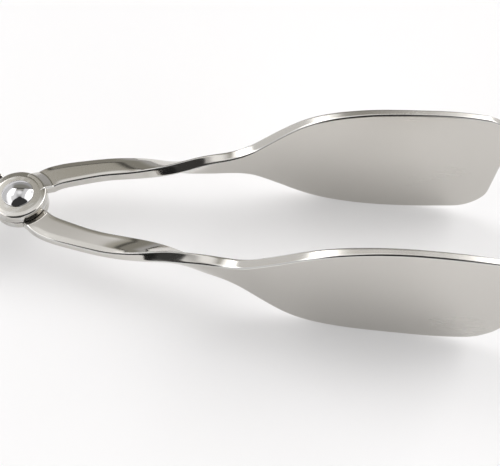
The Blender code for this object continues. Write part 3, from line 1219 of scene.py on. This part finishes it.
    def bevel_share(self, x: np.ndarray, radius: np.ndarray) -> np.ndarray:
        """Find how strongly the strip's sides are bevelled at its stations.

        Args:
            x: The stations' places along the arm.
            radius: Their distances from the rivet's axis.

        Returns:
            The shares, which rise from the step and run out in the twist.
        """
        rise = smoothstep((radius - self.step_end) / self.bevel_run)
        end = self.BEVEL_FALL_END_SHARE * self.twist_end
        fall = smoothstep((x - self.twist_start) / (end - self.twist_start))
        return rise * (1.0 - fall)

    def ring_line(self) -> Line:
        """Work out the middle line of the finger ring's band.

        Returns:
            The line.
        """
        count = self.RING_STEPS
        turns = np.linspace(0.0, 2 * math.pi, count, endpoint=False)[:, None]
        long_half, wide_half = self.ring_halves()
        axis = self.ring_axis()
        side = np.array([-axis[1], axis[0]])
        plan = self.ring_centre() + axis * long_half * np.cos(turns)
        plan += side * wide_half * np.sin(turns)
        slope = side * wide_half * np.cos(turns) - axis * long_half * np.sin(turns)
        slope /= np.linalg.norm(slope, axis=1)[:, None]
        flat = np.zeros(count)
        return Line(
            centre=np.column_stack([plan, flat]),
            across=np.column_stack([-slope[:, 1], slope[:, 0], flat]),
            through=np.column_stack([flat, flat, flat + 1.0]),
            half_width=flat + self.ring_band / 2,
            blade_share=flat,
            thin=flat + 1.0,
            bevel=flat,
            lean=flat,
            closed=True,
        )

    def lift(self) -> float:
        """Find how far the eye is stepped up from the arm's own plane."""
        return (self.eye_gap + self.strip_thickness) / 2

    def build_eye(self) -> bpy.types.Object:
        """Turn the round eye.

        Returns:
            The eye.
        """
        half = self.strip_thickness / 2 + self.eye_proud
        top, bottom = self.lift() + half, self.lift() - half
        lower_edge = self.eye_edge * self.LOWER_EDGE_SHARE
        crown = self.eye_radius - self.eye_edge
        start = crown - self.eye_outer_bevel
        profile = [(0.0, top, 0.0)]
        profile += [(start * share, top, 0.0) for share in self.EYE_RING_SHARES]
        count = self.BEVEL_STEPS
        profile += [(mix(start, crown, step / count), top, 0.0) for step in range(count)]
        upper = (self.eye_edge, TurnedEdge.UPPER, self.UPPER_EDGE_STEPS)
        lower = (lower_edge, TurnedEdge.LOWER, self.LOWER_EDGE_STEPS)
        profile += rounded_corner(self.eye_radius, top, *upper)
        profile += rounded_corner(self.eye_radius, bottom, *lower)
        profile += [(self.eye_radius * self.LOWER_RING_SHARE, bottom, 0.0), (0.0, bottom, 0.0)]
        eye = turned(self.name + "_eye", profile, self.EYE_SEGMENTS)
        self.press_bevel(eye.data, crown, self.lift())
        return eye

    def press_bevel(self, mesh: bpy.types.Mesh, crown: float, middle: float) -> None:
        """Press the bevel into the eye's top, wide on the outer side and slight on the inner.

        Args:
            mesh: The eye's mesh.
            crown: The radius at which the bevel ends and the rounded edge starts.
            middle: The eye's middle height, below which nothing moves.
        """
        onset = self.BEVEL_ONSET_SHARE
        lead, run = self.BEVEL_TURN_SHARES
        for vert in mesh.vertices:
            radius = math.hypot(vert.co.x, vert.co.y)
            outer = float(smoothstep((vert.co.y / max(radius, MM) + lead) / run))
            width = mix(self.eye_inner_bevel, self.eye_outer_bevel, outer)
            slope = math.tan(math.radians(mix(self.eye_inner_slope, self.eye_outer_slope, outer)))
            into = (min(radius, crown) - crown + width) / width
            if vert.co.z > middle and into > 0:
                fall = into**2 / (2 * onset) if into < onset else into - onset / 2
                vert.co.z -= width * slope * fall

    def build_bore(self) -> bpy.types.Object:
        """Turn the tool that cuts the rivet's hole.

        Returns:
            The tool.
        """
        reach = self.strip_thickness
        ends = (self.lift() + reach, self.lift() - reach)
        profile = [(0.0, ends[0], 0.0), (self.bore, ends[0], 0.0), (self.bore, ends[1], 0.0)]
        profile.append((0.0, ends[1], 0.0))
        return turned(self.name + "_bore", profile, self.BORE_SEGMENTS)

    def build(
        self, sweep: StripSweep, outline: bpy.types.Object, steel: bpy.types.Material
    ) -> None:
        """Build the arm and let it ride on its body.

        Args:
            sweep: The tree that sweeps a strip.
            outline: The strip's outline.
            steel: The arm's finish.
        """
        sizes = {
            "Outline": outline,
            "Strip Thickness": self.strip_thickness,
            "Blade Thickness": self.blade_thickness,
            "Strip Edge": self.strip_edge,
            "Blade Edge": self.blade_edge,
            "Outer Bevel": self.outer_bevel,
            "Outer Drop": self.outer_bevel * math.tan(math.radians(self.outer_slope)),
            "Inner Bevel": self.inner_bevel,
            "Inner Drop": self.inner_bevel * math.tan(math.radians(self.inner_slope)),
            "Step Height": self.lift(),
            "Step Start": self.step_start,
            "Step End": self.step_end,
            "Step Softness": self.step_softness,
            "Material": steel,
        }
        arm = sweep.apply(self.strip_line().build(self.name), sizes)
        band = dict(sizes)
        band["Step Height"] = 0.0
        band["Strip Thickness"] = self.strip_thickness + self.eye_proud
        band["Strip Edge"] = self.ring_edge
        ring = sweep.apply(self.ring_line().build(self.name + "_ring"), band)
        eye = self.build_eye()
        for piece in (arm, ring, eye):
            face_outwards(piece.data)
        combine(arm, ring, Join.ADD)
        combine(arm, eye, Join.ADD)
        combine(arm, self.build_bore(), Join.CUT)
        arm.data.materials.clear()
        arm.data.materials.append(steel)
        turn = Matrix.Rotation(math.pi if self.turned_over else 0.0, 4, "X")
        settle(arm, turn, self.SHARP_ANGLE)
        hand_over(arm, self.body, self.node)


# The photo's two arms differ a little in their bevels, eyes and twists
UPPER_ARM = Arm("upper_arm_strip", "upper_arm", Body.UPPER, False, outer_bevel=0.0015)
LOWER_ARM = Arm(
    "lower_arm_strip",
    "lower_arm",
    Body.LOWER,
    True,
    eye_radius=0.0065,
    twist_start=0.0215,
    twist_end=0.0512,
)


# Rivet and washer


@dataclass
class Rivet:
    """The rivet with its domed head, shank and formed tail, and the washer on its tail."""

    seat: float = 0.00269
    head_radius: float = 0.0037
    head_height: float = 0.0014
    rim_height: float = 0.00014
    rim_edge: float = 0.0001
    shank_radius: float = 0.0017
    tail_radius: float = 0.0029
    tail_height: float = 0.0010
    tail_edge: float = 0.0006
    washer_radius: float = 0.0037
    washer_thickness: float = 0.0006
    washer_edge: float = 0.00012
    washer_bore: float = 0.0020
    gap: float = 0.00002
    tail_upper_edge: float = 0.00015

    # Fineness of the turned shapes, and shares of the rim's and the tail's sizes
    DOME_STEPS = 36
    RIM_CUT_SHARE = 0.3
    SEAT_CUT_SHARE = 0.5
    TAIL_RING_SHARE = 0.4
    TAIL_UPPER_STEPS = 4
    TAIL_LOWER_STEPS = 8
    WASHER_EDGE_STEPS = 5
    RIVET_SEGMENTS = 128
    WASHER_SEGMENTS = 112
    SHARP_ANGLE = 40.0

    def head_profile(self) -> list:
        """List the head's profile from its crown to the shank.

        Returns:
            Points as (radius, height, rim).
        """
        rise = self.head_height - self.rim_height
        sphere = (self.head_radius**2 + rise**2) / (2 * rise)
        reach = math.asin((self.head_radius - self.rim_edge) / sphere)
        middle = self.seat + self.head_height - sphere
        rows = []
        for step in range(self.DOME_STEPS + 1):
            angle = reach * step / self.DOME_STEPS
            rows.append((sphere * math.sin(angle), middle + sphere * math.cos(angle), 0.0))
        crown_end = rows[-1][1]
        cut = self.RIM_CUT_SHARE * self.rim_edge
        rows.append((self.head_radius - cut, crown_end - cut, 1.0))
        low = min(crown_end - self.rim_edge, self.seat + self.rim_height)
        rows.append((self.head_radius, low, 0.5))
        rows.append((self.head_radius - self.SEAT_CUT_SHARE * self.rim_edge, self.seat, 0.0))
        rows.append((self.shank_radius, self.seat, 0.0))
        return rows

    def build_rivet(self, steel: bpy.types.Material) -> None:
        """Turn the rivet.

        Args:
            steel: The rivet's finish.
        """
        top = -self.seat - self.washer_thickness - self.gap
        bottom = top - self.tail_height
        profile = self.head_profile()
        profile += [(self.shank_radius, top, 0.0)]
        upper = (self.tail_upper_edge, TurnedEdge.UPPER, self.TAIL_UPPER_STEPS)
        lower = (self.tail_edge, TurnedEdge.LOWER, self.TAIL_LOWER_STEPS)
        profile += rounded_corner(self.tail_radius, top, *upper)
        profile += rounded_corner(self.tail_radius, bottom, *lower)
        inner = self.tail_radius * self.TAIL_RING_SHARE
        profile += [(inner, bottom, 0.0), (0.0, bottom, 0.0)]
        rivet = turned("rivet", profile, self.RIVET_SEGMENTS)
        rivet.data.materials.append(steel)
        settle(rivet, Matrix.Identity(4), self.SHARP_ANGLE)
        hand_over(rivet, Body.LOWER, "pivot_rivet")

    def build_washer(self, steel: bpy.types.Material) -> None:
        """Turn the washer.

        Args:
            steel: The washer's finish.
        """
        top = -self.seat
        bottom = top - self.washer_thickness
        bore = self.washer_bore
        profile = [(bore, top, 0.0)]
        for side, height in ((TurnedEdge.UPPER, top), (TurnedEdge.LOWER, bottom)):
            place = (self.washer_radius, height, self.washer_edge)
            profile += rounded_corner(*place, side, self.WASHER_EDGE_STEPS)
        profile += [(bore, bottom, 0.0), (bore, top, 0.0)]
        washer = turned("washer", profile, self.WASHER_SEGMENTS)
        face_outwards(washer.data)
        washer.data.materials.append(steel)
        settle(washer, Matrix.Identity(4), self.SHARP_ANGLE)
        hand_over(washer, Body.LOWER, "rivet_washer")


# The studio


@dataclass
class Camera:
    """The photograph's camera, as fitted to the tongs about the rivet's place."""

    place: tuple = (0.056213, -0.102487, 0.159705)
    right: tuple = (0.99794, 0.05729, 0.02903)
    up: tuple = (-0.06403, 0.85196, 0.51968)
    back: tuple = (0.00504, -0.52046, 0.85387)
    lens: float = 57.31
    sensor: float = 36.0
    near_limit: float = 0.005

    def build(self) -> None:
        """Make the scene's camera."""
        data = bpy.data.cameras.new("camera")
        data.lens = self.lens
        data.sensor_width = self.sensor
        data.clip_start = self.near_limit
        camera = add_object("camera", data)
        turn = Matrix((self.right, self.up, self.back)).transposed().to_4x4()
        camera.matrix_world = Matrix.Translation(Vector(self.place) + RIVET_PLACE) @ turn
        bpy.context.scene.camera = camera


@dataclass
class Table:
    """The pale table that the tongs lie on, touched by both blades and both rings."""

    size: float = 1.6
    colour: tuple = (0.90, 0.895, 0.90, 1.0)
    roughness: float = 0.7
    specular: float = 0.1
    fibre_fineness: float = 900.0
    fibre_detail: float = 3.0
    fibre_strength: float = 0.2
    fibre_height: float = 0.02 * MM
    whitening: float = 0.24
    mirrored_whitening: float = 0.12

    # Fineness of the top, and the search for its tilt in radians
    GRID_STEPS = 24
    STEEPEST = 0.3
    HALVINGS = 40

    @staticmethod
    def points() -> np.ndarray:
        """List the points of the pieces in the row frame.

        Returns:
            The points, one row each.
        """
        rows = []
        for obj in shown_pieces():
            rows.append(np.array([vert.co for vert in obj.data.vertices], dtype=float))
        return np.vstack(rows)

    def plane(self) -> tuple:
        """Find the level that the tongs come to rest on.

        Returns:
            The table's tilt about Y, in radians, and its height under the frame's origin.
        """
        points = self.points()
        front, rear = points[points[:, 0] > 0], points[points[:, 0] < 0]
        low, high = 0.0, self.STEEPEST
        for _ in range(self.HALVINGS):
            tilt = (low + high) / 2
            up = np.array([math.sin(tilt), 0.0, math.cos(tilt)])
            if (front @ up).min() < (rear @ up).min():
                low = tilt
            else:
                high = tilt
        return tilt, float((front @ up).min())

    def build(self) -> None:
        """Make the table top."""
        tilt, level = self.plane()
        half = self.size / 2
        shape = bmesh.new()
        count = self.GRID_STEPS
        bmesh.ops.create_grid(shape, x_segments=count, y_segments=count, size=half)
        mesh = bpy.data.meshes.new("table")
        shape.to_mesh(mesh)
        shape.free()
        turn = Matrix.Rotation(tilt, 4, "Y")
        mesh.transform(turn @ Matrix.Translation((0.0, 0.0, level)))
        mesh.materials.append(self.finish())
        add_object("table", mesh)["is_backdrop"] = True
        log.info("table: tilted %.2f degrees, %.2f mm down", math.degrees(tilt), -level / MM)

    def finish(self) -> bpy.types.Material:
        """Make the table's finish.

        Returns:
            The material.
        """
        material, graph, shader = start_material("table_paper")
        place = graph.add("ShaderNodeTexCoord").outputs["Object"]
        fibre = graph.add("ShaderNodeTexNoise", Vector=place, Scale=self.fibre_fineness)
        graph.feed(fibre.inputs["Detail"], self.fibre_detail)
        bump = graph.add("ShaderNodeBump", Height=fibre.outputs[0], Strength=self.fibre_strength)
        bump.inputs["Distance"].default_value = self.fibre_height
        graph.feed(shader.inputs["Normal"], bump.outputs[0])
        graph.feed(shader.inputs["Base Color"], self.colour)
        shader.inputs["Roughness"].default_value = self.roughness
        shader.inputs["Specular IOR Level"].default_value = self.specular
        path = graph.add("ShaderNodeLightPath").outputs
        mirrored = graph.math("MAXIMUM", path["Is Glossy Ray"], path["Is Transmission Ray"])
        share = graph.math("MULTIPLY", mirrored, self.mirrored_whitening)
        share = graph.math("MULTIPLY_ADD", path["Is Camera Ray"], self.whitening, share)
        white = graph.add("ShaderNodeEmission", Strength=1.0)
        lifted = graph.add("ShaderNodeMixShader", Fac=share)
        graph.feed(lifted.inputs[1], shader.outputs[0])
        graph.feed(lifted.inputs[2], white.outputs[0])
        output = material.node_tree.nodes["Material Output"]
        graph.feed(output.inputs["Surface"], lifted.outputs[0])
        return material


@dataclass(frozen=True)
class Cone:
    """A round part of the surroundings, with a soft border."""

    azimuth: float
    elevation: float
    outer: float
    inner: float

    def mask(self, graph: Graph, sky: dict) -> bpy.types.NodeSocket:
        """Draw the part.

        Args:
            graph: The world's graph.
            sky: The direction's sockets by name.

        Returns:
            The mask, 1 inside and 0 outside.
        """
        turn, rise = math.radians(self.azimuth), math.radians(self.elevation)
        level = math.cos(rise)
        middle = (math.sin(turn) * level, math.cos(turn) * level, math.sin(rise))
        product = graph.vector("DOT_PRODUCT", sky["direction"], middle).outputs["Value"]
        angle = graph.math("DEGREES", graph.math("ARCCOSINE", graph.math("MINIMUM", product, 1.0)))
        return graph.ramp(angle, self.outer, self.inner)


@dataclass(frozen=True)
class Side:
    """A part of the surroundings that lies past a plane, with a soft border."""

    axis: str
    start: float
    end: float

    def mask(self, graph: Graph, sky: dict) -> bpy.types.NodeSocket:
        """Draw the part as a mask, 1 past the plane and 0 before it."""
        return graph.ramp(sky[self.axis], self.start, self.end)


@dataclass(frozen=True)
class Patch:
    """A part of the studio's surroundings with its brightness.

    A part that is only mirrored leaves the light on the table as it is.
    """

    name: str
    strength: float
    shapes: tuple
    warmth: float = 0.0
    only_mirrored: bool = False


@dataclass
class Studio:
    """The studio's light: two wide softboxes, a dim wall behind and a dark camera side."""

    ceiling: float = 0.62
    tint: tuple = (1.0, 0.99, 0.985)
    warm_tint: tuple = (1.0, 0.965, 0.86)

    def tone(self, strength: float, warmth: float = 0.0) -> tuple:
        """Find a part's colour from its brightness and its warmth, which is from 0 to 1."""
        colour = (mix(cold, warm, warmth) for cold, warm in zip(self.tint, self.warm_tint))
        return tuple(strength * value for value in colour) + (1.0,)

    def build(self, patches: tuple) -> None:
        """Make the world.

        Args:
            patches: The parts of the surroundings, the later ones over the earlier ones.
        """
        world = bpy.data.worlds.new("studio")
        bpy.context.scene.world = world
        world.use_nodes = True
        graph = Graph(world.node_tree)
        background = world.node_tree.nodes["Background"]
        direction = graph.add("ShaderNodeTexCoord").outputs["Generated"]
        parts = graph.add("ShaderNodeSeparateXYZ", Vector=direction)
        sky = {name: parts.outputs[name] for name in ("X", "Y", "Z")}
        sky["direction"] = direction
        colour = self.tone(self.ceiling)
        path = graph.add("ShaderNodeLightPath").outputs
        for patch in patches:
            share = path["Is Glossy Ray"] if patch.only_mirrored else None
            for shape in patch.shapes:
                mask = shape.mask(graph, sky)
                share = mask if share is None else graph.math("MULTIPLY", share, mask)
            colour = graph.blend_colour(share, colour, self.tone(patch.strength, patch.warmth))
        seen = graph.blend_colour(path["Is Camera Ray"], colour, (1.0, 1.0, 1.0, 1.0))
        graph.feed(background.inputs["Color"], seen)
        log.info("studio: %d parts", len(patches))


SURROUNDINGS = (
    Patch("softbox_seam", 0.22, (Cone(2, 50, 15, 6),)),
    Patch("wall_rim", 0.46, (Cone(-9, 6, 52.5, 49.5),), 1.0),
    Patch("wall_shade", 0.10, (Cone(-9, 6, 45.5, 41),), 1.0),
    Patch("left_softbox", 1.6, (Side("X", -0.27, -0.35), Side("Z", 0.93, 0.86))),
    Patch("left_softbox_head", 1.0, (Side("X", -0.10, -0.30), Side("Z", 0.82, 0.85))),
    Patch("top_softbox", 1.2, (Cone(-6, 68, 15, 4),)),
    Patch("right_softbox_edge", 0.88, (Side("X", 0.10, 0.22),)),
    Patch("right_softbox", 1.6, (Side("X", 0.33, 0.43),)),
    Patch("left_lamp", 3.8, (Side("X", -0.36, -0.48), Side("Y", 0.05, 0.30))),
    Patch("right_lamp", 3.8, (Side("X", 0.38, 0.48), Side("Y", 0.05, 0.30))),
    Patch("left_stand", 0.65, (Cone(-56, 15, 15, 9),)),
    Patch("right_stand", 0.90, (Cone(50, 16, 15, 9),)),
    Patch("wall_edge", 0.09, (Cone(-9, 6, 41, 39),), 1.0),
    Patch("far_wall", 0.30, (Cone(-9, 6, 38.5, 35.5),), 1.0),
    Patch("far_wall_foot", 0.48, (Cone(-9, 6, 37, 34), Side("Z", 0.45, 0.15))),
    Patch("left_foot", 0.78, (Side("X", -0.42, -0.60), Side("Z", 0.66, 0.50)), only_mirrored=True),
    Patch("right_foot", 0.78, (Side("X", 0.42, 0.60), Side("Z", 0.66, 0.50)), only_mirrored=True),
    Patch("camera_side", 0.055, (Cone(167, 47, 42, 39),)),
    Patch("camera_arm", 0.05, (Cone(150, 82, 13, 8),)),
    Patch("camera_stand", 0.02, (Side("Y", -0.80, -0.90), Side("Z", 0.75, 0.65))),
    Patch(
        "front_left",
        0.6,
        (Side("X", -0.36, -0.50), Side("Y", 0.0, -0.25), Side("Z", 0.62, 0.50)),
        only_mirrored=True,
    ),
    Patch(
        "front_right",
        0.6,
        (Side("X", 0.16, 0.40), Side("Y", 0.0, -0.25), Side("Z", 0.62, 0.50)),
        only_mirrored=True,
    ),
)


def main() -> None:
    """Build the tongs, the table, the light and the camera."""
    logging.basicConfig(level=logging.INFO, format="%(message)s")
    bpy.context.scene.view_settings.view_transform = "Standard"
    marks = SteelMarks()
    finishes = (ARM_STEEL, RIVET_STEEL, WASHER_STEEL)
    steels = {finish.slot: finish.build(marks) for finish in finishes}
    sweep = StripSweep()
    outline = Profile().build()
    for arm in (UPPER_ARM, LOWER_ARM):
        arm.build(sweep, outline, steels[Slot.ARM])
    bpy.data.objects.remove(outline, do_unlink=True)
    rivet = Rivet()
    rivet.build_rivet(steels[Slot.RIVET])
    rivet.build_washer(steels[Slot.WASHER])
    Table().build()
    Studio().build(SURROUNDINGS)
    Camera().build()


if __name__ == "__main__":
    main()
